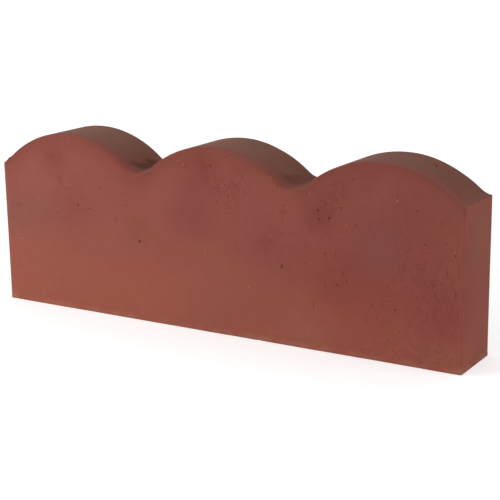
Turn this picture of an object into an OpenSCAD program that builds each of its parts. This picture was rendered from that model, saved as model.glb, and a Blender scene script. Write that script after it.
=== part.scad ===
// Scalloped lawn edging stone: one block of cast, red-pigmented concrete.
// It stands on its long flat base. X runs along the stone, Y through it from
// the front face to the back face, and Z up. The origin is the middle of the base.

/* [Block] */
// Length from end face to end face
stone_length = 406.4; // [300:0.2:600]
// Thickness from the front face to the back face
stone_thickness = 50.8; // [30:0.1:90]
// Height from the base to the crest of a scallop
crest_height = 144; // [100:1:220]

/* [Scallops] */
// Number of scallops along the stone
scallops = 3; // [2:1:5]
// Drop from a crest to the bottom of the valley beside it
scallop_depth = 25.4; // [15:0.1:35]
// Radius of the round in the bottom of a valley
valley_radius = 17.5; // [8:0.5:24]
// How far each end face stops short of the bottom of its own valley
end_trim = 2.54; // [0:0.02:8]

/* [Eased edges] */
// Radius of the eased edge that follows the scallops in front
front_edge_radius = 4; // [1:0.5:6]
// Radius of the sharper edge that follows them at the back
back_edge_radius = 1.5; // [0.5:0.5:5]
// Radius of the four upright corners
corner_radius = 2; // [1:0.5:6]

/* [Hidden] */
$fn = 96;

// A worked-out length, kept to a thousandth of a millimetre so that arcs meet exactly
function to_micron(length) = round(length * 1000) / 1000;
// Distance from one crest to the next
pitch = 2 * to_micron((stone_length / 2 + end_trim) / scallops);
// A crest arc runs smoothly into a valley arc where the line between their
// centres crosses both, so the centres lie one radius plus the other apart.
centre_gap = to_micron((pow(pitch / 2, 2) + pow(scallop_depth, 2)) / (2 * scallop_depth));
crest_radius = centre_gap - valley_radius;
// The two edges along the scallops, front first
top_edge_radii = [front_edge_radius, back_edge_radius];
// Spare length that lets the outer faces be cut clean by the block's plan
margin = 10;

// Centre of a crest's arc and of the valley's arc on its left, in the front view
function crest_centre(i) = [(i - (scallops - 1) / 2) * pitch, crest_height - crest_radius];
function valley_centre(i) = [(i - scallops / 2) * pitch, crest_height - scallop_depth + valley_radius];

// A quarter disc that bulges towards +X and +Y
module quarter_disc(radius) {
    intersection() {
        circle(r = radius);
        square(radius);
    }
}

// A flat section from a straight back to an edge with both corners eased, where
// edge and back are distances from the axis and either may be the nearer. The
// first of the two radii eases the corner towards +Y.
module eased_section(edge, back, height, radii) {
    inward = sign(back - edge);
    for (side = [0, 1]) mirror([0, side]) {
        radius = radii[side];
        shoulder = edge + inward * radius;
        translate([min(shoulder, back), 0]) square([abs(back - shoulder), height / 2]);
        translate([min(edge, back), 0]) square([abs(back - edge), height / 2 - radius]);
        translate([shoulder, height / 2 - radius]) mirror([max(inward, 0), 0]) quarter_disc(radius);
    }
}

// Turns a shape that stands up along Z so that it runs through the stone, top to the front
module across_stone() {
    rotate([90, 0, 0]) children();
}

// A plate with a given outline in the front view, thicker than the stone
module front_outline(points) {
    across_stone() linear_extrude(stone_thickness + margin, center = true) polygon(points);
}

// The sector of a turned disc under one crest, up to its lines of tangency
module crest_sector(i) {
    centre = crest_centre(i);
    left = valley_centre(i);
    right = valley_centre(i + 1);
    top = crest_height + margin;
    intersection() {
        translate([centre.x, 0, centre.y]) across_stone() rotate_extrude()
            eased_section(crest_radius, 0, stone_thickness, top_edge_radii);
        front_outline([centre, right, [right.x, top], [left.x, top], left]);
    }
}

// The web of a turned ring under one valley, from crest centre to crest centre
module valley_web(i) {
    centre = valley_centre(i);
    intersection() {
        translate([centre.x, 0, centre.y]) across_stone() rotate_extrude()
            eased_section(valley_radius, valley_radius + centre_gap, stone_thickness, top_edge_radii);
        front_outline([crest_centre(i - 1), crest_centre(i), centre]);
    }
}

// The plain block below the centres of the crests
module lower_block() {
    width = pitch * (scallops + 1);
    height = crest_centre(0).y;
    if (height > 0)
        translate([-width / 2, -stone_thickness / 2, 0]) cube([width, stone_thickness, height]);
}

// The inside of the mould: the plan of the stone with its rounded upright corners
module mould_box() {
    linear_extrude(crest_height + margin)
        for (side = [0, 1]) mirror([side, 0])
            eased_section(stone_length / 2, 0, stone_thickness, [corner_radius, corner_radius]);
}

// The whole stone, cast in one
module edging_stone() {
    color("indianred") intersection() {
        union() {
            for (i = [0 : scallops - 1]) crest_sector(i);
            for (i = [0 : scallops]) valley_web(i);
            lower_block();
        }
        mould_box();
    }
}

edging_stone();
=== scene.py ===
# A scalloped lawn edging stone of cast red concrete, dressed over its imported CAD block.
# Lengths are in metres, in the frame of the CAD: X along the stone, Y from its front
# face to its back face, and Z up from the floor that it stands on.

import math
import random

import bmesh
import bpy
import numpy as np
from mathutils import Matrix, Vector, noise
from mathutils.bvhtree import BVHTree


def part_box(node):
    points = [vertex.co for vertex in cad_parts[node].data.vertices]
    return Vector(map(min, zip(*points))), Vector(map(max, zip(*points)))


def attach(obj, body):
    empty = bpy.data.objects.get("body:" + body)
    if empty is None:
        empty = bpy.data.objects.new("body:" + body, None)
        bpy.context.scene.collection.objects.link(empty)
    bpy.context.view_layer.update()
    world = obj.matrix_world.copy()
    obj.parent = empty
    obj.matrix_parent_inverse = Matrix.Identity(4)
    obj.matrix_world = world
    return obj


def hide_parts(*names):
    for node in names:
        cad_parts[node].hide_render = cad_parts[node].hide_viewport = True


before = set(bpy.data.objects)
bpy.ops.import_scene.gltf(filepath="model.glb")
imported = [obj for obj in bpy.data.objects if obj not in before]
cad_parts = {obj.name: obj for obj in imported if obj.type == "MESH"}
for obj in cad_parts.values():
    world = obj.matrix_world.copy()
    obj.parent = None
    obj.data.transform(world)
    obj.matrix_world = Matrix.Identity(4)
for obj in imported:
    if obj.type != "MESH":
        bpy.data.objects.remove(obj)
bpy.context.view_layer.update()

# Camera
# The photograph looks down a little on the front face and the right-hand end, from
# about a metre away, through a long lens held a hair off level.

view_lens = 95.6
view_distance = 1.01568
view_aim = Vector((0.0183, 0.0, 0.06204))
view_yaw = math.radians(31.355)
view_pitch = math.radians(14.212)
view_roll = math.radians(-0.839)

camera_data = bpy.data.cameras.new("photo_view")
camera_data.sensor_width = 36.0
camera_data.lens = view_lens
camera = bpy.data.objects.new("photo_view", camera_data)
bpy.context.scene.collection.objects.link(camera)
bpy.context.scene.camera = camera
backward = Vector((
    math.sin(view_yaw) * math.cos(view_pitch),
    -math.cos(view_yaw) * math.cos(view_pitch),
    math.sin(view_pitch),
))
camera.location = view_aim + backward * view_distance
turned = Matrix.Rotation(view_yaw, 3, "Z") @ Matrix.Rotation(math.pi / 2 - view_pitch, 3, "X")
camera.rotation_euler = (turned @ Matrix.Rotation(view_roll, 3, "Z")).to_euler()

# Edging stone: the cast block
# One piece of red-pigmented concrete, pressed into a scalloped mould and turned out
# to cure. The mould eases the upright corners and the edge along the scallops, widely in
# front and sharply at the back, and handling rounds the rest a little.

block_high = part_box("edging_stone")[1]
half_length = block_high.x
half_thickness = block_high.y
crest_height = block_high.z
scallops = 3
scallop_depth = 0.0254
valley_radius = 0.0175
end_trim = 0.00254
front_rim_radius = 0.004
back_rim_radius = 0.0015
corner_radius = 0.002
base_ease = 0.0007
end_ease = 0.0008
end_levelling = 0.008
rim_wander = 0.35
rim_wander_length = 0.035
base_wander = 0.6
base_wander_length = 0.020

pitch = 2 * (half_length + end_trim) / scallops
centre_gap = ((pitch / 2) ** 2 + scallop_depth ** 2) / (2 * scallop_depth)
crest_radius = centre_gap - valley_radius


def scallop_line(x):
    """Height of the scalloped top at x, and the outward normal of its outline there."""
    from_crest = x - pitch * np.round(x / pitch)
    to_valley = np.sign(from_crest) * pitch / 2 - from_crest
    on_crest = np.abs(from_crest) <= pitch / 2 * crest_radius / centre_gap
    crest_rise = np.sqrt(np.maximum(crest_radius ** 2 - from_crest ** 2, 0))
    valley_rise = np.sqrt(np.maximum(valley_radius ** 2 - to_valley ** 2, 0))
    crest = crest_height - crest_radius + crest_rise
    valley = crest_height - scallop_depth + valley_radius - valley_rise
    height = np.where(on_crest, crest, valley)
    normal_x = np.where(on_crest, from_crest / crest_radius, to_valley / valley_radius)
    normal_z = np.where(on_crest, crest_rise / crest_radius, valley_rise / valley_radius)
    return height, normal_x, normal_z


def wander(x, seed, wavelength):
    """A slow random change along the stone, from about -1 to 1."""
    return np.array([noise.noise(Vector((value / wavelength, seed, 0.5))) for value in x])


mesh_step = 0.00175
corner_steps = 7
rim_steps = 5
base_steps = 2
face_rows = 72
top_rows = 25
underside_rows = top_rows + 2 * rim_steps - 2 * base_steps


def station_places():
    """Places along the stone, evenly spaced over the scallops and closer round the corners."""
    close = np.linspace(-half_length, half_length, 4001)
    height = scallop_line(close)[0]
    along = np.concatenate([[0], np.cumsum(np.hypot(np.diff(close), np.diff(height)))])
    even = np.interp(np.linspace(0, along[-1], round(along[-1] / mesh_step) + 1), along, close)
    plain = even[np.abs(even) < half_length - corner_radius - mesh_step / 2]
    turn = np.linspace(0, math.pi / 2, corner_steps + 1)
    corner = half_length - corner_radius * (1 - np.sin(turn))
    return np.concatenate([-corner[::-1], plain, corner])


x = station_places()
height, slope_x, slope_z = scallop_line(x)
slope_x = slope_x * np.clip((half_length - np.abs(x)) / end_levelling, 0, 1)
slope_z = np.sqrt(1 - slope_x ** 2)
over_end = np.clip(np.abs(x) - (half_length - end_ease), 0, end_ease)
eased = end_ease - np.sqrt(end_ease ** 2 - over_end ** 2)
round_corner = np.clip(np.abs(x) - (half_length - corner_radius), 0, corner_radius)
half_width = half_thickness - corner_radius + np.sqrt(corner_radius ** 2 - round_corner ** 2)


def top_rim(side, mean_radius, seed):
    """Points round one eased rim, from the face (side -1 front, 1 back) up to the top."""
    radius = (mean_radius * (1 + rim_wander * wander(x, seed, rim_wander_length)))[:, None]
    turn = np.linspace(0, math.pi / 2, rim_steps + 1)[None, :]
    drop = radius * (1 - np.sin(turn))
    inset = radius * (1 - np.cos(turn))
    return np.stack([
        x[:, None] - slope_x[:, None] * drop,
        side * (half_width[:, None] - inset),
        (height - eased)[:, None] - slope_z[:, None] * drop,
    ], axis=2)


def base_edge(side, seed):
    """Points round one worn base edge, from the face down to the underside."""
    radius = (base_ease * (1 + base_wander * wander(x, seed, base_wander_length)))[:, None]
    turn = np.linspace(0, math.pi / 2, base_steps + 1)[None, :]
    rise = radius * (1 - np.sin(turn))
    inset = radius * (1 - np.cos(turn))
    return np.stack([
        np.repeat(x[:, None], base_steps + 1, axis=1),
        side * (half_width[:, None] - inset),
        eased[:, None] + rise,
    ], axis=2)


def rows_between(start, end, steps):
    """Even rows of points from one line of points to another, both included."""
    share = np.linspace(0, 1, steps + 1)[None, :, None]
    return start[:, None, :] * (1 - share) + end[:, None, :] * share


front_rim = top_rim(-1, front_rim_radius, 1.5)
back_rim = top_rim(1, back_rim_radius, 2.5)
front_base = base_edge(-1, 3.5)
back_base = base_edge(1, 4.5)
rings = np.concatenate([
    rows_between(front_base[:, 0], front_rim[:, 0], face_rows)[:, :-1],
    front_rim[:, :-1],
    rows_between(front_rim[:, -1], back_rim[:, -1], top_rows)[:, :-1],
    back_rim[:, :0:-1],
    rows_between(back_rim[:, 0], back_base[:, 0], face_rows)[:, :-1],
    back_base[:, :-1],
    rows_between(back_base[:, -1], front_base[:, -1], underside_rows)[:, :-1],
    front_base[:, :0:-1],
], axis=1)
station_count, ring_size = rings.shape[:2]
across = top_rows + 2 * rim_steps


def end_face(station):
    """Grid of point numbers over one end face, and the new points inside its border."""
    ring = station * ring_size
    grid = np.zeros((face_rows + 1, across + 1), int)
    grid[0] = ring + (ring_size - np.arange(across + 1)) % ring_size
    grid[-1] = ring + face_rows + np.arange(across + 1)
    grid[:, 0] = ring + np.arange(face_rows + 1)
    grid[:, -1] = ring + 2 * face_rows + across - np.arange(face_rows + 1)
    flat = rings.reshape(-1, 3)
    inside = rows_between(flat[grid[0, 1:-1]], flat[grid[-1, 1:-1]], face_rows)[:, 1:-1]
    return grid, inside.transpose(1, 0, 2).reshape(-1, 3)


def quads(grid):
    """The four corners of every cell of a grid of point numbers."""
    return np.stack([grid[:-1, :-1], grid[:-1, 1:], grid[1:, 1:], grid[1:, :-1]], axis=2).reshape(-1, 4)


points = [rings.reshape(-1, 3)]
wrap = np.arange(ring_size + 1) % ring_size
cells = [quads(np.arange(station_count)[:, None] * ring_size + wrap[None, :])]
for station in (0, station_count - 1):
    grid, inside = end_face(station)
    first = sum(len(block) for block in points)
    grid[1:-1, 1:-1] = first + np.arange(len(inside)).reshape(face_rows - 1, across - 1)
    points.append(inside)
    cells.append(quads(grid))

stone_mesh = bpy.data.meshes.new("scalloped_edging_stone")
stone_mesh.from_pydata(np.concatenate(points).tolist(), [], np.concatenate(cells).tolist())
tidy = bmesh.new()
tidy.from_mesh(stone_mesh)
bmesh.ops.recalc_face_normals(tidy, faces=tidy.faces)
tidy.to_mesh(stone_mesh)
tidy.free()

# The mould's own face is not dead true: the cast faces lie inside it by slow waves of a
# few tenths of a millimetre, finer ripples, and the lie of the sand. The underside and
# the lowest line of each face stay true, because the stone cures standing on them.

# Slow wave, ripple and lie of the sand: depth, and length from crest to crest
waves = (
    (0.00030, 0.085),
    (0.00012, 0.019),
    (0.00005, 0.0045),
)
true_line = 0.0008
true_fade = 0.003
top_share = 0.5


def hollow_depth(point, upward):
    """How far the cast face lies inside the mould's true face at a point."""
    depth = sum(size * (0.5 + 0.5 * noise.noise(point / length)) for size, length in waves)
    depth *= 1 - top_share * max(upward, 0)
    return depth * min(max((point.z - true_line) / true_fade, 0), 1)


# Where the top sinks towards its back: place along, half width of the dip, and depth
dips = (
    (0.042, 0.022, 0.0008),
    (0.183, 0.022, 0.0007),
    (0.194, 0.006, 0.0007),
)
dip_start = -0.005
dip_run = 0.025
burr_height = 0.0007
burr_along = 0.0012
burr_across = 0.0025
burr_inset = 0.003


def sag(point):
    """How far the top sinks towards its back on the right of the last two crests."""
    towards_back = min(max((point.y - dip_start) / dip_run, 0), 1)
    return towards_back * sum(
        depth * math.exp(-((point.x - along) / width) ** 2) for along, width, depth in dips
    )


def burr(point):
    """Height of the small burr that the mould joint left on the right end's back corner."""
    from_end = (point.x - half_length) / burr_along
    from_back = (point.y - half_thickness + burr_inset) / burr_across
    nearness = math.exp(-math.hypot(from_end, from_back) ** 2)
    return burr_height * nearness if point.z > crest_height / 2 else 0.0


normals = [vertex.normal.copy() for vertex in stone_mesh.vertices]
for vertex, normal in zip(stone_mesh.vertices, normals):
    rise = burr(vertex.co) - sag(vertex.co) if normal.z > 0.3 else 0.0
    vertex.co = vertex.co - normal * hollow_depth(vertex.co, normal.z) + Vector((0, 0, rise))
stone_mesh.update()

stone = bpy.data.objects.new("scalloped_edging_stone", stone_mesh)
bpy.context.scene.collection.objects.link(stone)

# Air holes, bared grains and knocks
# Air caught against the mould leaves round holes up to two millimetres wide, and slits
# where it slid as the stone was turned out, densest on the right. Here and there a pale
# grain shows, and the base edge and corners have lost chips, where concrete breaks lighter.

# Round holes on the front face, in millimetres: along, up, and radius
front_holes = (
    (-67, 64.5, 1.1), (61, 60, 1.2), (-126.5, 87.5, 0.9), (-104.5, 104, 0.8), (-116, 85.5, 0.6),
    (-147.5, 80, 0.6), (-169.5, 89, 0.4), (-140, 99.5, 0.4), (-136.5, 100, 0.4), (0, 130, 0.8),
    (62.5, 106, 0.7), (51, 79, 0.7), (-4, 62.5, 0.6), (13, 138, 0.5), (16.5, 135.5, 0.5),
    (18.5, 133.5, 0.4), (6, 133.5, 0.5), (3, 113.5, 0.5), (12.5, 117, 0.5), (20, 119.5, 0.5),
    (22, 117.5, 0.6), (18.5, 111.5, 0.5), (17, 100, 0.5), (23, 104, 0.4), (8, 120, 0.4),
    (80.5, 65.5, 0.6), (57.5, 117, 0.5), (57.5, 120, 0.4), (61.5, 114.5, 0.5), (30, 134.5, 0.4),
    (91, 105.5, 1.0), (92, 99, 0.8), (100, 100.5, 0.9), (106.5, 114.5, 0.6), (106, 112, 0.5),
    (97, 111.5, 0.5), (106.5, 109, 0.4), (109.5, 118.5, 0.5), (92, 128, 0.5), (138, 122.5, 0.5),
    (132.5, 95.5, 0.6), (125, 93, 0.4), (127, 91.5, 0.4), (109.5, 86.5, 0.4), (96.5, 74, 0.6),
    (105, 74, 0.4), (111, 61, 0.7), (106.5, 52.5, 0.8), (129, 26.5, 0.5), (130.5, 29, 0.5),
    (159, 112.5, 0.4), (168, 113, 0.6), (186, 105, 0.4), (156.5, 99.5, 0.4), (198, 94, 0.5),
    (174, 90, 0.7), (163, 85.5, 0.5), (196.5, 84.5, 0.8), (187, 78.5, 0.6), (174.5, 63.5, 0.5),
    (187.5, 63.5, 0.5), (147.5, 49.5, 0.5), (149, 47, 0.4), (143, 42.5, 0.5), (152.5, 40, 0.8),
    (177, 41.5, 0.5), (184, 44.5, 0.5), (198, 32.5, 0.4), (156, 25, 0.6), (186.5, 20, 0.4),
    (184.5, 17.5, 0.4), (140.5, 14, 0.4), (143.5, 14, 0.4), (195.5, 11, 0.4), (172.5, 8.5, 0.4),
)
# Slits and scores there: along, up, length, width, and lean to the right in degrees
front_slits = (
    (-118, 125.5, 2.4, 0.6, 90), (-79, 91.5, 2.2, 1.1, 90), (-189, 105, 2.2, 0.5, 80),
    (-82.5, 101, 3.6, 0.5, 0), (-63, 65, 2.0, 0.6, 0), (-113.5, 85.5, 2.4, 0.5, 20),
    (3, 127, 3.0, 0.7, 90), (15.5, 109, 2.8, 0.8, 15), (5, 103.5, 2.6, 0.9, 0),
    (15, 115, 1.8, 0.7, 90), (23, 69.5, 2.0, 0.9, 0), (24, 66.5, 1.4, 0.8, 0),
    (61, 85, 2.2, 1.0, 80), (61.5, 94, 4.0, 0.5, 0), (28, 124, 3.0, 0.7, 0),
    (31.5, 124.5, 3.0, 0.7, 0), (-27, 129, 2.0, 0.8, 0),
    (181.5, 61.5, 3.0, 0.8, 35), (197.5, 57.5, 4.5, 0.9, 0), (182.5, 55, 3.0, 0.8, 0),
    (168.5, 51, 2.2, 0.8, 0), (146.5, 57, 3.0, 0.5, 0), (164, 31, 2.2, 0.7, 35),
    (147.5, 16.5, 2.4, 0.6, 0), (175, 10.5, 2.4, 0.6, 0), (153, 122, 3.0, 0.6, 0),
    (186, 107.5, 2.6, 0.9, 30), (178, 84, 3.6, 0.5, 90), (175, 77, 2.6, 0.6, 0),
    (155.5, 72.5, 2.6, 0.7, 0), (159, 74, 2.6, 0.7, 0), (162.5, 71, 2.8, 0.5, 30),
    (191, 72, 4.6, 0.5, 0), (114, 56, 3.0, 0.8, 30), (97, 50.5, 3.4, 0.5, 0),
    (87.5, 34, 5.6, 0.5, 0), (119, 130.5, 3.4, 0.8, 60), (121, 97, 2.8, 0.7, 0),
    (134, 41, 3.0, 0.5, 0), (138, 32.5, 3.0, 0.5, 0), (199.5, 44, 2.4, 0.6, 0),
)
# Bared pale grains there: along, up, length, width, and lean
front_grains = (
    (-187.5, 53.5, 2.2, 1.5, 90), (-188.5, 103.5, 2.6, 0.9, 80), (-138, 99.5, 1.4, 1.2, 0),
    (-167.5, 89.5, 1.6, 1.4, 0), (-116.5, 83.5, 1.0, 0.9, 0), (-117.5, 127, 2.8, 0.9, 90),
    (-147, 82.5, 1.2, 1.0, 0), (-128.5, 87.5, 1.4, 0.7, 0), (-79, 93.5, 1.8, 0.5, 90),
    (-67, 61.5, 1.2, 0.8, 90), (-6.5, 62.5, 1.6, 1.3, 0), (3.5, 130, 2.4, 1.8, 0),
    (15, 137, 3.2, 0.9, 0), (-24, 129, 1.4, 1.1, 0), (-29, 131.5, 2.6, 0.6, 75),
    (3, 111, 1.0, 0.9, 0), (10, 116, 1.2, 1.0, 0), (22, 120, 1.2, 1.0, 0),
    (17.5, 106, 1.2, 0.8, 0), (17, 102.5, 1.0, 0.8, 0), (51.5, 125.5, 3.2, 0.8, 25),
    (51, 82, 1.2, 1.0, 0), (55.5, 78, 1.4, 1.0, 0), (29.5, 117.5, 1.2, 1.0, 0),
    (27, 114, 1.2, 0.8, 90), (31.5, 109, 3.0, 0.7, 0), (84, 117.5, 2.0, 0.7, 0),
    (153, 118.5, 1.6, 1.3, 0), (161, 112, 1.1, 0.9, 0),
    (177, 63, 1.0, 0.9, 0), (187.5, 61, 1.0, 0.8, 0), (174.5, 41, 0.9, 0.8, 0),
    (196, 87, 1.2, 1.0, 0), (199, 86, 1.0, 0.8, 0), (196, 32, 0.9, 0.8, 0),
    (132.5, 16, 2.6, 0.7, 0), (149, 13, 2.0, 0.7, 0), (164, 13.5, 1.1, 0.9, 0),
    (166, 11.5, 1.1, 0.9, 0), (194, 12.5, 1.0, 0.9, 0), (192, 14.5, 1.0, 0.9, 0),
    (177, 4.5, 2.0, 0.8, 0), (178, 7.5, 1.0, 0.9, 0), (182.5, 8, 1.1, 0.9, 0),
    (182.5, 4, 1.2, 0.9, 0), (188.5, 4.5, 1.1, 0.9, 0), (108.5, 116.5, 1.1, 0.9, 0),
    (99, 112.5, 1.0, 0.8, 0), (102.5, 99, 1.0, 0.9, 0), (113.5, 97, 2.0, 0.7, 0),
    (109.5, 89, 1.0, 0.8, 0), (103, 76.5, 1.0, 0.9, 0), (131.5, 104, 1.0, 0.8, 0),
    (134.5, 4, 1.2, 0.9, 0),
)
hole_tone = -1.0
grain_tone = 1.0
mm_per_metre = 1000


def pebble(centre, normal, radius, depth, steps, rough, turn, stretch=1.12):
    """Points and faces of a lumpy pebble, radius wide and depth deep, sunk along a normal."""
    ball = bmesh.new()
    bmesh.ops.create_icosphere(ball, subdivisions=steps, radius=1.0)
    facing = normal.to_track_quat("Z", "Y").to_matrix() @ Matrix.Rotation(turn, 3, "Z")
    made = []
    for vertex in ball.verts:
        lump = 1 + rough * noise.noise(vertex.co * 1.6 + centre * 900)
        made.append(centre + facing @ Vector((
            vertex.co.x * radius * lump * stretch,
            vertex.co.y * radius * lump / stretch,
            vertex.co.z * depth * lump,
        )))
    faces = [[vertex.index for vertex in face.verts] for face in ball.faces]
    ball.free()
    return made, faces


def cut_with(name, pebbles):
    """Cuts pebbles, each with its tone, out of the stone, and marks the cut faces with the tone."""
    made_points, made_faces, tones = [], [], []
    for (pebble_points, pebble_faces), tone in pebbles:
        start = len(made_points)
        made_points += pebble_points
        made_faces += [[start + number for number in face] for face in pebble_faces]
        tones += [tone] * len(pebble_faces)
    cutter_mesh = bpy.data.meshes.new(name)
    cutter_mesh.from_pydata(made_points, [], made_faces)
    cutter_mesh.attributes.new("hole_tone", "FLOAT", "FACE").data.foreach_set("value", tones)
    cutter = bpy.data.objects.new(name, cutter_mesh)
    bpy.context.scene.collection.objects.link(cutter)
    cut = stone.modifiers.new(name, "BOOLEAN")
    cut.operation = "DIFFERENCE"
    cut.solver = "MANIFOLD"
    cut.object = cutter
    carved = bpy.data.meshes.new_from_object(stone.evaluated_get(bpy.context.evaluated_depsgraph_get()))
    stone.modifiers.clear()
    stone.data = carved
    bpy.data.objects.remove(cutter)


surface = BVHTree.FromObject(stone, bpy.context.evaluated_depsgraph_get())
looks_at = {
    "front": lambda along, up: (Vector((along, -1, up)), Vector((0, 1, 0))),
    "back": lambda along, up: (Vector((along, 1, up)), Vector((0, -1, 0))),
    "left": lambda across_y, up: (Vector((-1, across_y, up)), Vector((1, 0, 0))),
    "right": lambda across_y, up: (Vector((1, across_y, up)), Vector((-1, 0, 0))),
    "top": lambda along, across_y: (Vector((along, across_y, 1)), Vector((0, 0, -1))),
}
# Depth of each kind of hole as a share of its radius
hole_depth = 0.65
scattered_depth = 0.6
slit_depth = 0.35
grain_depth = 0.25
clear_of_base = 0.002
hole_spacing = 1.3
wide_hole = 0.0007
holes = []
draw = random.Random(11)


def add_hole(face, first, second, radius, depth_share, tone, stretch=1.0, turn=0.0):
    """Notes a hole on a face of the stone, unless it would run into another hole or the base."""
    place, normal, _, _ = surface.ray_cast(*looks_at[face](first, second))
    reach = radius * stretch
    if place is None or place.z < reach + clear_of_base:
        return
    if any((place - other[0]).length < (reach + other[2] * other[5]) * hole_spacing for other in holes):
        return
    holes.append((place, normal, radius, depth_share, tone, stretch, turn))


def add_slit(along, up, length, width, lean, depth_share, tone):
    """Notes a long hole on the front face, its lean measured from upright to the right."""
    radius = math.sqrt(length * width) / 2 / mm_per_metre
    stretch = math.sqrt(length / width)
    turn = math.radians(90 - lean)
    add_hole("front", along / mm_per_metre, up / mm_per_metre, radius, depth_share, tone, stretch, turn)


for along, up, radius in front_holes:
    stretch = 1 + 0.5 * draw.random() ** 2
    turn = draw.uniform(0, math.pi)
    first, second, radius = along / mm_per_metre, up / mm_per_metre, radius / mm_per_metre
    add_hole("front", first, second, radius, hole_depth, hole_tone, stretch, turn)
for along, up, length, width, lean in front_slits:
    add_slit(along, up, length, width, lean, slit_depth, hole_tone)
for along, up, length, width, lean in front_grains:
    add_slit(along, up, length, width, lean, grain_depth, grain_tone)
add_hole("top", 0.1665, 0.0095, 0.0013, 0.9, hole_tone)

# Each face's own scatter: how many tries, its span along and up, and how much wider than
# the rest its widest holes are
scatters = (
    ("front", 45, (0.150, 0.198), (0.020, 0.100), 0.0003),
    ("front", 14, (0.005, 0.032), (0.098, 0.125), 0.0003),
    ("front", 10, (0.096, 0.114), (0.104, 0.125), 0.0003),
    ("front", 40, (0.120, 0.200), (0.005, 0.020), 0.0003),
    ("front", 22, (-0.195, 0.150), (0.010, 0.110), 0.0003),
    ("back", 130, (-0.195, 0.195), (0.006, 0.115), 0.0010),
    ("top", 40, (-0.198, 0.198), (-0.021, 0.021), 0.0003),
    ("left", 22, (-0.021, 0.021), (0.006, 0.112), 0.0008),
    ("right", 16, (-0.019, 0.021), (0.006, 0.112), 0.0003),
)
for face, tries, first_span, second_span, widest in scatters:
    for _ in range(tries):
        pale = draw.random() < 0.25
        radius = draw.uniform(0.00022, 0.00040) + widest * draw.random() ** 3
        first = draw.uniform(*first_span)
        second = draw.uniform(*second_span)
        depth_share = grain_depth if pale else scattered_depth
        stretch = 1 + 0.7 * draw.random() ** 2
        turn = draw.uniform(0, math.pi)
        add_hole(face, first, second, radius, depth_share, grain_tone if pale else hole_tone, stretch, turn)

pebbles = []
for place, normal, radius, depth_share, tone, stretch, turn in holes:
    steps = 3 if radius > wide_hole else 2
    sunk = place + normal * radius * 0.1
    pebbles.append((pebble(sunk, normal, radius, radius * depth_share, steps, 0.5, turn, stretch), tone))
cut_with("air_holes", pebbles)

# Knocks: the edge point that each bites into, how wide it is, and how deep
knocks = (
    ((0.040, -0.0252, -0.0004), 0.0034, 0.0012),
    ((0.050, -0.0252, -0.0006), 0.0024, 0.0010),
    ((0.2030, -0.0248, -0.0004), 0.0022, 0.0008),
    ((0.2034, -0.0080, -0.0006), 0.0024, 0.0008),
    ((-0.1980, -0.0254, -0.0004), 0.0030, 0.0008),
    ((-0.2038, -0.0255, 0.0695), 0.0020, 0.0010),
    ((-0.118, -0.0254, -0.0004), 0.0020, 0.0008),
    ((0.117, -0.0254, -0.0002), 0.0022, 0.0008),
    ((0.2036, 0.0250, 0.0010), 0.0028, 0.0010),
    ((-0.2034, 0.0252, 0.0300), 0.0026, 0.0012),
    ((0.085, 0.0254, -0.0004), 0.0036, 0.0014),
    ((-0.060, 0.0254, -0.0004), 0.0024, 0.0010),
)
chips = []
for place, radius, depth in knocks:
    spot = Vector(place)
    outward = Vector((
        math.copysign(1, spot.x) if abs(spot.x) > 0.2 else 0,
        math.copysign(1, spot.y) if abs(spot.y) > 0.02 else 0,
        -1 if spot.z < 0.01 else 0,
    )).normalized()
    chips.append((pebble(spot, outward, radius, depth, 4, 0.45, draw.uniform(0, 6)), 0.7))

# One thin graze, scratched slanting across the upper left of the front
graze, facing_out, _, _ = surface.ray_cast(*looks_at["front"](-0.185, 0.098))
chips.append((pebble(graze, facing_out, 0.0011, 0.00012, 3, 0.3, math.radians(116), 4.2), 0.35))

# The left end's front corner is worn off at the top, long enough ago to have darkened
worn_corner = Vector((-0.2016, -0.0232, 0.1182))
corner_outward = Vector((-1, -0.3, 1.2)).normalized()
chips.append((pebble(worn_corner, corner_outward, 0.0050, 0.0014, 4, 0.25, 0.0, 1.0), 0.0))
cut_with("knocks", chips)

# How close each point of the finished mesh lies to an arris, for the painted light along
# the arrises; how far below the scalloped line it lies, for the redder band along the rim;
# and how steeply that line rises to the right there, for the painted shade on those slopes' rim
arris_width = 0.0006
arris_fade = 0.0030
steep_lean = 0.5
final_mesh = stone.data
co = np.zeros(len(final_mesh.vertices) * 3)
final_mesh.vertices.foreach_get("co", co)
co = co.reshape(-1, 3)
line_height, line_lean, line_slope = scallop_line(co[:, 0])
below_line = (line_height - co[:, 2]) * line_slope
to_faces = np.sort(np.stack([
    half_thickness - np.abs(co[:, 1]),
    below_line,
    half_length - np.abs(co[:, 0]),
    co[:, 2],
], axis=1), axis=1)
to_arris = np.hypot(to_faces[:, 0], to_faces[:, 1])
nearness = np.clip(1 - (to_arris - arris_width) / arris_fade, 0, 1)
final_mesh.attributes.new("arris", "FLOAT", "POINT").data.foreach_set("value", nearness)
final_mesh.attributes.new("below_rim", "FLOAT", "POINT").data.foreach_set("value", below_line)
rising = np.clip(-line_lean / steep_lean, 0, 1)
final_mesh.attributes.new("rising", "FLOAT", "POINT").data.foreach_set("value", rising)
final_mesh.shade_smooth()
final_mesh.set_sharp_from_angle(angle=math.radians(38))

# Red concrete
# Iron-oxide pigment mixed right through grey cement and sand: brick red, clouded where
# the pigment and water lay unevenly, more orange low down, darker and duller on top as
# settled dust and as painted shade where less light falls, with a dry, finely sanded face.


def add_node(tree, kind, inputs=None, **settings):
    """Adds a shader node; inputs holds plain values or other nodes' outputs, by socket."""
    made = tree.nodes.new("ShaderNode" + kind)
    for name, value in settings.items():
        setattr(made, name, value)
    for socket, value in (inputs or {}).items():
        if isinstance(value, bpy.types.NodeSocket):
            tree.links.new(value, made.inputs[socket])
        else:
            made.inputs[socket].default_value = value
    return made


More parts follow.
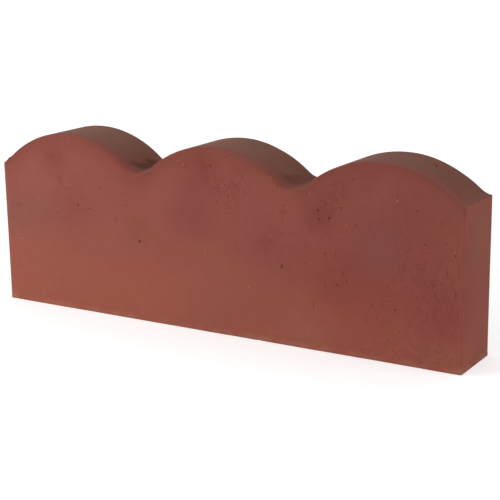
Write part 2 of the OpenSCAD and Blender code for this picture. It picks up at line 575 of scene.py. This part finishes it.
def mixed(tree, share, under, over, blend="MIX"):
    """The colour made by laying one colour over another by a share."""
    made = add_node(tree, "Mix", {0: share, 6: under, 7: over}, data_type="RGBA", blend_type=blend)
    return made.outputs[2]


def worked(tree, operation, first, second):
    """The result of one sum on two values."""
    return add_node(tree, "Math", {0: first, 1: second}, operation=operation).outputs[0]


def eased_range(tree, value, low, high, low_out=0.0, high_out=1.0):
    """A value passed through a smooth step from low to high."""
    made = add_node(tree, "MapRange", {
        "Value": value, "From Min": low, "From Max": high, "To Min": low_out, "To Max": high_out,
    }, interpolation_type="SMOOTHSTEP")
    return made.outputs["Result"]


def new_group(name, inputs, outputs):
    """An empty shader node group with named inputs and outputs, and its two end nodes."""
    group = bpy.data.node_groups.new(name, "ShaderNodeTree")
    for socket, kind, value in inputs:
        made = group.interface.new_socket(socket, in_out="INPUT", socket_type="NodeSocket" + kind)
        if value is not None:
            made.default_value = value
    for socket in outputs:
        group.interface.new_socket(socket, in_out="OUTPUT", socket_type="NodeSocketFloat")
    return group, group.nodes.new("NodeGroupInput").outputs, group.nodes.new("NodeGroupOutput").inputs


# Clouds: soft uneven lightness, as pigment and water lie in the mix
clouds, given, result = new_group("clouds", (
    ("Place", "Vector", None), ("Size", "Float", 0.05), ("Sharpness", "Float", 0.3),
), ("Mask",))
cloud_noise = add_node(clouds, "TexNoise", {
    "Vector": given["Place"], "Scale": worked(clouds, "DIVIDE", 1.0, given["Size"]),
    "Detail": 2.0, "Roughness": 0.5,
})
low_edge = add_node(clouds, "MapRange", {"Value": given["Sharpness"], "To Min": 0.2, "To Max": 0.48})
high_edge = add_node(clouds, "MapRange", {"Value": given["Sharpness"], "To Min": 0.8, "To Max": 0.52})
cloud_mask = eased_range(clouds, cloud_noise.outputs[0], low_edge.outputs[0], high_edge.outputs[0])
clouds.links.new(cloud_mask, result["Mask"])

# Soft patch: one stain or bloom, full at its centre and fading out, with a wavering edge
soft_patch, given, result = new_group("soft_patch", (
    ("Place", "Vector", None), ("Centre", "Vector", None), ("Radius", "Float", 0.02),
    ("Waver", "Float", 0.6),
), ("Mask",))
offset = add_node(soft_patch, "VectorMath", {0: given["Place"], 1: given["Centre"]}, operation="DISTANCE")
share = worked(soft_patch, "DIVIDE", offset.outputs["Value"], given["Radius"])
edge_noise = add_node(soft_patch, "TexNoise", {
    "Vector": given["Place"], "Scale": worked(soft_patch, "DIVIDE", 1.2, given["Radius"]),
    "Detail": 3.0, "Roughness": 0.55,
})
swing = worked(soft_patch, "SUBTRACT", edge_noise.outputs[0], 0.5)
wavered = worked(soft_patch, "ADD", share, worked(soft_patch, "MULTIPLY", swing, given["Waver"]))
soft_patch.links.new(eased_range(soft_patch, wavered, 0.05, 0.95, 1.0, 0.0), result["Mask"])

# Sand grain: the close speckle of the face, as a tone about zero and a height
sand_grain, given, result = new_group("sand_grain", (
    ("Place", "Vector", None), ("Grain", "Float", 0.0008),
), ("Tone", "Height"))
fine = add_node(sand_grain, "TexNoise", {
    "Vector": given["Place"], "Scale": worked(sand_grain, "DIVIDE", 1.0, given["Grain"]),
    "Detail": 3.0, "Roughness": 0.6,
})
sand_grain.links.new(worked(sand_grain, "SUBTRACT", fine.outputs[0], 0.5), result["Tone"])
sand_grain.links.new(fine.outputs[0], result["Height"])

# Dots: tiny round marks, at most one to a cell and only in a share of the cells
dots, given, result = new_group("dots", (
    ("Place", "Vector", None), ("Spacing", "Float", 0.004), ("Reach", "Float", 0.12),
    ("Share", "Float", 0.5),
), ("Mask",))
dot_cells = add_node(dots, "TexVoronoi", {
    "Vector": given["Place"], "Scale": worked(dots, "DIVIDE", 1.0, given["Spacing"]),
})
dot = add_node(dots, "MapRange", {
    "Value": dot_cells.outputs["Distance"], "From Min": worked(dots, "MULTIPLY", given["Reach"], 0.6),
    "From Max": given["Reach"], "To Min": 1.0, "To Max": 0.0,
}, interpolation_type="SMOOTHSTEP")
lot = add_node(dots, "SeparateColor", {0: dot_cells.outputs["Color"]}).outputs[0]
drawn = worked(dots, "LESS_THAN", lot, given["Share"])
dots.links.new(worked(dots, "MULTIPLY", dot.outputs[0], drawn), result["Mask"])

brick_red = (0.272, 0.072, 0.053, 1.0)
low_orange = (0.320, 0.089, 0.056, 1.0)
low_red = (0.300, 0.066, 0.047, 1.0)
left_brown = (0.240, 0.078, 0.057, 1.0)
rim_red = (0.226, 0.056, 0.040, 1.0)
slope_shade_red = (0.170, 0.040, 0.028, 1.0)
rose_red = (0.280, 0.079, 0.062, 1.0)
plum_red = (0.238, 0.054, 0.047, 1.0)
mauve_red = (0.236, 0.068, 0.056, 1.0)
dark_red = (0.212, 0.046, 0.034, 1.0)
brown_red = (0.232, 0.068, 0.041, 1.0)
margin_red = (0.250, 0.053, 0.043, 1.0)
base_orange = (0.315, 0.100, 0.070, 1.0)
end_brown = (0.262, 0.081, 0.050, 1.0)
top_shade_and_dirt = (0.205, 0.068, 0.049, 1.0)
older_dirt = (0.172, 0.067, 0.044, 1.0)
settled_dust = (0.208, 0.094, 0.060, 1.0)
dark_shade_and_grime = (0.088, 0.020, 0.0095, 1.0)
red_shade_and_grime = (0.150, 0.034, 0.019, 1.0)
arris_light_paint = (0.36, 0.095, 0.066, 1.0)
base_dust = (0.36, 0.165, 0.105, 1.0)
hole_shade = (0.110, 0.026, 0.019, 1.0)
bared_sand = (0.44, 0.19, 0.12, 1.0)
sand_dot = (0.42, 0.145, 0.088, 1.0)

concrete = bpy.data.materials.new("red_concrete")
concrete.use_nodes = True
tree = concrete.node_tree
tree.nodes.clear()
coordinates = add_node(tree, "TexCoord").outputs
place = coordinates["Object"]
parts = add_node(tree, "SeparateXYZ", {0: place}).outputs
facing = add_node(tree, "SeparateXYZ", {0: coordinates["Normal"]}).outputs


def mask_of(group, **inputs):
    """The first output of a shader group laid over the stone."""
    named = {name.capitalize(): value for name, value in inputs.items()}
    return add_node(tree, "Group", {"Place": place, **named}, node_tree=group).outputs[0]


def scaled(value, factor):
    """A mask times a plain factor or another mask."""
    return worked(tree, "MULTIPLY", value, factor)


colour = mixed(tree, scaled(mask_of(clouds, size=0.070, sharpness=0.2), 0.40), brick_red, rose_red)
colour = mixed(tree, scaled(mask_of(clouds, size=0.045, sharpness=0.3), 0.20), colour, plum_red)

# The lower half is more orange, as the stone dried upwards from its base
wavering_height = worked(tree, "ADD", parts["Z"], scaled(mask_of(clouds, size=0.06, sharpness=0.1), 0.03))
low_down = eased_range(tree, wavering_height, 0.020, 0.090, 1.0, 0.0)
colour = mixed(tree, scaled(low_down, 0.9), colour, low_orange)

# Blooms and stains, seen on the front and the right end and fewer on the back and the
# left end: centre, radius, colour, strength
blooms = (
    ((-0.170, -0.025, 0.104), 0.045, rose_red, 0.70),
    ((-0.100, -0.025, 0.062), 0.040, rose_red, 0.60),
    ((-0.095, -0.025, 0.015), 0.110, low_orange, 0.45),
    ((-0.165, -0.025, 0.035), 0.060, low_orange, 0.40),
    ((-0.198, -0.025, 0.078), 0.034, left_brown, 0.80),
    ((-0.165, -0.025, 0.078), 0.034, left_brown, 0.50),
    ((0.125, -0.025, 0.035), 0.075, low_red, 0.60),
    ((-0.070, -0.025, 0.074), 0.020, brown_red, 0.50),
    ((-0.130, -0.025, 0.086), 0.035, dark_red, 0.25),
    ((-0.150, -0.025, 0.125), 0.024, dark_red, 0.50),
    ((-0.010, -0.025, 0.126), 0.030, dark_red, 0.65),
    ((0.014, -0.025, 0.118), 0.030, dark_red, 0.35),
    ((-0.016, -0.025, 0.093), 0.034, plum_red, 0.65),
    ((0.045, -0.025, 0.079), 0.030, plum_red, 0.40),
    ((0.070, -0.025, 0.068), 0.036, dark_red, 0.25),
    ((0.092, -0.025, 0.103), 0.026, dark_red, 0.75),
    ((0.100, -0.025, 0.122), 0.024, dark_red, 0.45),
    ((0.130, -0.025, 0.135), 0.022, dark_red, 0.45),
    ((0.140, -0.025, 0.085), 0.060, dark_red, 0.50),
    ((0.140, -0.025, 0.085), 0.034, mauve_red, 0.80),
    ((0.108, -0.025, 0.056), 0.038, dark_red, 0.48),
    ((0.140, -0.025, 0.040), 0.030, dark_red, 0.25),
    ((0.182, -0.025, 0.060), 0.045, dark_red, 0.50),
    ((0.175, -0.025, 0.022), 0.040, plum_red, 0.25),
    ((0.190, -0.025, 0.080), 0.045, margin_red, 0.85),
    ((0.080, -0.025, 0.008), 0.032, base_orange, 0.60),
    ((0.110, -0.025, 0.122), 0.022, rim_red, 0.70),
    ((0.175, -0.025, 0.040), 0.030, margin_red, 0.40),
    ((0.193, -0.025, 0.042), 0.034, margin_red, 0.60),
    ((0.193, -0.025, 0.104), 0.016, margin_red, 0.50),
    ((0.168, -0.025, 0.113), 0.036, dark_red, 0.42),
    ((0.203, 0.010, 0.008), 0.030, left_brown, 0.40),
    ((0.000, -0.025, 0.002), 0.060, left_brown, 0.22),
    ((0.170, -0.025, 0.008), 0.030, rose_red, 0.40),
    ((-0.010, -0.025, 0.136), 0.016, dark_red, 0.80),
    ((0.203, 0.006, 0.090), 0.062, end_brown, 0.90),
    ((0.203, 0.000, 0.030), 0.035, rose_red, 0.25),
    ((-0.004, -0.025, 0.129), 0.005, dark_red, 0.80),
    ((0.048, -0.025, 0.077), 0.011, dark_red, 0.35),
    ((-0.1515, -0.025, 0.126), 0.005, dark_red, 0.60),
    ((-0.1445, -0.025, 0.108), 0.005, dark_red, 0.45),
    ((-0.188, -0.025, 0.082), 0.004, dark_red, 0.50),
    ((-0.090, -0.025, 0.080), 0.004, dark_red, 0.55),
    ((0.062, -0.025, 0.101), 0.006, dark_red, 0.50),
    ((0.096, -0.025, 0.105), 0.013, dark_red, 0.35),
    ((-0.022, -0.025, 0.128), 0.004, dark_red, 0.70),
    ((-0.120, 0.025, 0.060), 0.050, rose_red, 0.60),
    ((0.020, 0.025, 0.090), 0.045, dark_red, 0.45),
    ((0.130, 0.025, 0.030), 0.060, low_orange, 0.50),
    ((0.170, 0.025, 0.095), 0.035, plum_red, 0.50),
    ((-0.060, 0.025, 0.015), 0.040, brown_red, 0.50),
    ((-0.203, 0.005, 0.080), 0.040, left_brown, 0.60),
)
for centre, radius, bloom_colour, strength in blooms:
    bloom = mask_of(soft_patch, centre=centre, radius=radius)
    colour = mixed(tree, scaled(bloom, strength), colour, bloom_colour)

# A darker, redder band follows the rim down both broad faces, fainter at two places on the
# front, and on the slopes that rise to the right the rim is darker again with painted shade
below_rim = add_node(tree, "Attribute", attribute_name="below_rim").outputs["Fac"]
rising = add_node(tree, "Attribute", attribute_name="rising").outputs["Fac"]
broad_face = eased_range(tree, worked(tree, "ABSOLUTE", facing["Y"], 0.0), 0.5, 0.9)
rim_band = scaled(eased_range(tree, below_rim, 0.0, 0.019, 1.0, 0.0), broad_face)
for centre, radius, spared in (((0.060, -0.025, 0.121), 0.028, 0.8), ((0.182, -0.025, 0.124), 0.032, 0.5)):
    spared_patch = scaled(mask_of(soft_patch, centre=centre, radius=radius), spared)
    rim_band = scaled(rim_band, worked(tree, "SUBTRACT", 1.0, spared_patch))
colour = mixed(tree, scaled(rim_band, 0.85), colour, rim_red)
# Painted shade on the rim where the slopes rise to the right
slope_shade_band = scaled(eased_range(tree, below_rim, 0.001, 0.007, 1.0, 0.0), rising)
colour = mixed(tree, scaled(slope_shade_band, 0.6), colour, slope_shade_red)

# The top is painted darker and duller than the faces, partly as dirt and partly as painted
# shade where less light falls on it. It grows darker from the front rim to the back and from
# left to right, with pale dust where a crest is nearly level, and painted shade, with some
# grime, in the two valley creases
upward = eased_range(tree, facing["Z"], 0.35, 0.80)
level_top = eased_range(tree, facing["Z"], 0.80, 1.00)
from_front = eased_range(tree, parts["Y"], -0.0235, -0.0120, 0.25, 1.0)
# Painted shade and dirt on the upward faces, more olive towards the back
top_colour = mixed(tree, eased_range(tree, parts["Y"], -0.012, 0.020), top_shade_and_dirt, older_dirt)
top_shade_and_dirt_share = scaled(upward, from_front)
colour = mixed(tree, scaled(top_shade_and_dirt_share, 0.92), colour, top_colour)
left_share = eased_range(tree, parts["X"], -0.10, 0.16, 0.8, 0.5)
on_crest = scaled(level_top, eased_range(tree, parts["Z"], 0.124, 0.136))
colour = mixed(tree, scaled(scaled(on_crest, from_front), left_share), colour, settled_dust)
right_share = scaled(
    eased_range(tree, parts["X"], -0.06, 0.18),
    eased_range(tree, parts["X"], 0.190, 0.203, 1.0, 0.4),
)
over_rim = scaled(upward, eased_range(tree, parts["Y"], -0.0235, -0.0120, 0.6, 1.0))
colour = mixed(tree, scaled(over_rim, right_share), colour, (0.90, 0.825, 0.80, 1.0), "MULTIPLY")
for centre, radius, patch_colour, strength in (
    ((0.055, 0.000, 0.124), 0.018, settled_dust, 0.45),
    ((-0.095, 0.000, 0.134), 0.018, settled_dust, 0.25),
    ((0.150, 0.008, 0.142), 0.014, settled_dust, 0.20),
    ((0.174, 0.002, 0.130), 0.018, dark_shade_and_grime, 0.16),
    ((0.018, 0.010, 0.140), 0.018, dark_shade_and_grime, 0.08),
    # Painted shade at the front of the left valley's crease
    ((-0.0695, -0.0190, 0.119), 0.009, dark_shade_and_grime, 0.45),
):
    stained = scaled(mask_of(soft_patch, centre=centre, radius=radius), over_rim)
    colour = mixed(tree, scaled(stained, strength), colour, patch_colour)
# Painted shade, with some grime, along each valley crease where the trough meets the next crest
shade_and_grime_edge = scaled(worked(tree, "SUBTRACT", mask_of(clouds, size=0.012, sharpness=0.1), 0.5), 0.004)
in_from_front = eased_range(tree, parts["Y"], -0.017, -0.006)
for valley_x, slant, shade_and_grime_colour, strength in (
    (-0.0742, 0.18, dark_shade_and_grime, 0.88),
    (0.0620, 0.20, red_shade_and_grime, 0.66),
):
    streak_x = worked(tree, "ADD", scaled(parts["Y"], slant), valley_x)
    from_valley = worked(tree, "ABSOLUTE", worked(tree, "SUBTRACT", parts["X"], streak_x), 0.0)
    in_valley = eased_range(tree, worked(tree, "ADD", from_valley, shade_and_grime_edge), 0.0030, 0.0081, 1.0, 0.0)
    valley_shade_and_grime = scaled(scaled(in_valley, in_from_front), upward)
    colour = mixed(tree, scaled(valley_shade_and_grime, strength), colour, shade_and_grime_colour)

# Rough patches, where the sand shows more: on the right, on the crests, low down, and on
# parts of the back and the left end
rough = scaled(mask_of(clouds, size=0.035, sharpness=0.6), 0.35)
for centre, radius, strength in (
    ((0.175, -0.025, 0.060), 0.060, 1.0),
    ((0.165, -0.025, 0.006), 0.060, 1.0),
    ((0.015, -0.025, 0.115), 0.034, 1.0),
    ((0.105, -0.025, 0.110), 0.036, 1.0),
    ((0.060, -0.025, 0.078), 0.035, 0.6),
    ((-0.140, -0.025, 0.100), 0.055, 0.5),
    ((0.203, 0.000, 0.000), 0.030, 1.0),
    ((0.110, 0.025, 0.045), 0.080, 0.8),
    ((-0.140, 0.025, 0.080), 0.065, 0.7),
    ((-0.203, 0.000, 0.040), 0.045, 0.6),
):
    patch = scaled(mask_of(soft_patch, centre=centre, radius=radius), strength)
    rough = worked(tree, "MAXIMUM", rough, patch)

mottle = worked(tree, "SUBTRACT", mask_of(clouds, size=0.006, sharpness=0.2), 0.5)
mottle_share = add_node(tree, "MapRange", {"Value": rough, "To Min": 0.035, "To Max": 0.120}).outputs[0]
grain = add_node(tree, "Group", {"Place": place, "Grain": 0.0010}, node_tree=sand_grain).outputs
contrast = add_node(tree, "MapRange", {"Value": rough, "To Min": 0.14, "To Max": 0.34}).outputs[0]
speckle = worked(tree, "ADD", scaled(grain["Tone"], contrast), 1.0)
shade = worked(tree, "ADD", scaled(mottle, mottle_share), speckle)
grey = add_node(tree, "CombineColor", {0: shade, 1: shade, 2: shade}).outputs[0]
colour = mixed(tree, 1.0, colour, grey, "MULTIPLY")

# The arrises below the rim are painted lighter in places, as painted light that lifts the shade of their
# rounding, and dust clings along the base
arris = add_node(tree, "Attribute", attribute_name="arris").outputs["Fac"]
lit_arris = scaled(arris, eased_range(tree, below_rim, 0.004, 0.010))
patchy = worked(tree, "ADD", scaled(mask_of(clouds, size=0.007, sharpness=0.7), 0.14), 0.33)
colour = mixed(tree, scaled(lit_arris, patchy), colour, arris_light_paint)
base_line = eased_range(tree, parts["Z"], 0.0015, 0.0060, 1.0, 0.0)
near_floor = scaled(base_line, mask_of(clouds, size=0.012, sharpness=0.6))
colour = mixed(tree, scaled(near_floor, 0.35), colour, base_dust)
for centre, radius in (
    ((0.202, -0.024, 0.001), 0.006), ((-0.199, -0.025, 0.001), 0.007), ((0.045, -0.025, 0.000), 0.008),
):
    bared = scaled(mask_of(soft_patch, centre=centre, radius=radius), 0.6)
    colour = mixed(tree, bared, colour, base_dust)

tone = add_node(tree, "Attribute", attribute_name="hole_tone").outputs["Fac"]
dark = add_node(tree, "MapRange", {"Value": tone, "From Min": 0.0, "From Max": -1.0}).outputs[0]
pale = add_node(tree, "MapRange", {"Value": tone, "From Min": 0.0, "From Max": 1.0}).outputs[0]
pinholes = scaled(mask_of(dots, spacing=0.0035, reach=0.10, share=0.35), rough)
pale_dots = scaled(mask_of(dots, spacing=0.0046, reach=0.09, share=0.25), rough)
colour = mixed(tree, scaled(pinholes, 0.36), colour, hole_shade)
colour = mixed(tree, scaled(pale_dots, 0.40), colour, sand_dot)
colour = mixed(tree, scaled(dark, 0.45), colour, hole_shade)
colour = mixed(tree, scaled(pale, 0.55), colour, bared_sand)

lie = worked(tree, "SUBTRACT", grain["Height"], scaled(pinholes, 0.8))
bump = add_node(tree, "Bump", {
    "Height": scaled(lie, worked(tree, "ADD", rough, 0.5)), "Strength": 0.3, "Distance": 0.0004,
})
skin = add_node(tree, "BsdfPrincipled", {
    "Base Color": colour,
    "Roughness": eased_range(tree, grain["Height"], 0.3, 0.7, 0.80, 0.92),
    "Normal": bump.outputs["Normal"],
    "Specular IOR Level": 0.25,
})
add_node(tree, "OutputMaterial", {"Surface": skin.outputs[0]})
final_mesh.materials.clear()
final_mesh.materials.append(concrete)

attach(stone, "root")
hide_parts("edging_stone")

# Floor
# A plain pale studio sweep. To the camera it reads white wherever the light reaches it,
# and it keeps the stone's soft contact shadow.

floor_half = 8.0
near_glow = 0.48
far_glow = 0.62
floor_mesh = bpy.data.meshes.new("studio_floor")
floor_corners = ((-1, -1), (1, -1), (1, 1), (-1, 1))
floor_mesh.from_pydata(
    [(side_x * floor_half, side_y * floor_half, 0) for side_x, side_y in floor_corners],
    [], [(0, 1, 2, 3)],
)
floor = bpy.data.objects.new("studio_floor", floor_mesh)
bpy.context.scene.collection.objects.link(floor)

paper = bpy.data.materials.new("floor_paper")
paper.use_nodes = True
tree = paper.node_tree
tree.nodes.clear()
seen = add_node(tree, "LightPath").outputs["Is Camera Ray"]
matt = add_node(tree, "BsdfDiffuse", {"Color": (0.82, 0.82, 0.82, 1.0)})
away = add_node(tree, "VectorMath", {0: add_node(tree, "TexCoord").outputs["Object"]}, operation="LENGTH")
glow_strength = scaled(eased_range(tree, away.outputs["Value"], 0.3, 1.2, near_glow, far_glow), seen)
glow = add_node(tree, "Emission", {"Color": (1.0, 1.0, 1.0, 1.0), "Strength": glow_strength})
both = add_node(tree, "AddShader", {0: matt.outputs[0], 1: glow.outputs[0]})
add_node(tree, "OutputMaterial", {"Surface": both.outputs[0]})
floor_mesh.materials.append(paper)

# Light
# A wide soft lamp stands near the stone's left end and a weaker one off its right end,
# in an evenly lit white room, so the front is brightest at its left and the top is duller.

sky_level = 0.6
world = bpy.data.worlds.new("white_room")
world.use_nodes = True
bpy.context.scene.world = world
tree = world.node_tree
tree.nodes.clear()
ray = add_node(tree, "LightPath").outputs
seen = worked(tree, "MAXIMUM", ray["Is Camera Ray"], ray["Is Glossy Ray"])
seen = worked(tree, "MAXIMUM", seen, ray["Is Transmission Ray"])
level = add_node(tree, "MapRange", {"Value": seen, "To Min": sky_level, "To Max": 1.0})
backdrop = add_node(tree, "Background", {"Color": (1.0, 1.0, 1.0, 1.0), "Strength": level.outputs[0]})
add_node(tree, "OutputWorld", {"Surface": backdrop.outputs[0]})


def soft_lamp(name, place, aim, size, watts):
    """A square area lamp at a place, turned to a point."""
    lamp_data = bpy.data.lights.new(name, "AREA")
    lamp_data.shape = "SQUARE"
    lamp_data.size = size
    lamp_data.energy = watts
    lamp = bpy.data.objects.new(name, lamp_data)
    lamp.location = place
    lamp.rotation_euler = (Vector(aim) - Vector(place)).to_track_quat("-Z", "Y").to_euler()
    bpy.context.scene.collection.objects.link(lamp)


soft_lamp("key_lamp", (-0.75, -0.75, 0.30), (-0.08, 0, 0.06), 0.7, 6.5)
soft_lamp("fill_lamp", (1.4, 0.10, 0.35), (0.2, 0, 0.06), 0.9, 3.5)

bpy.context.scene.view_settings.view_transform = "Standard"
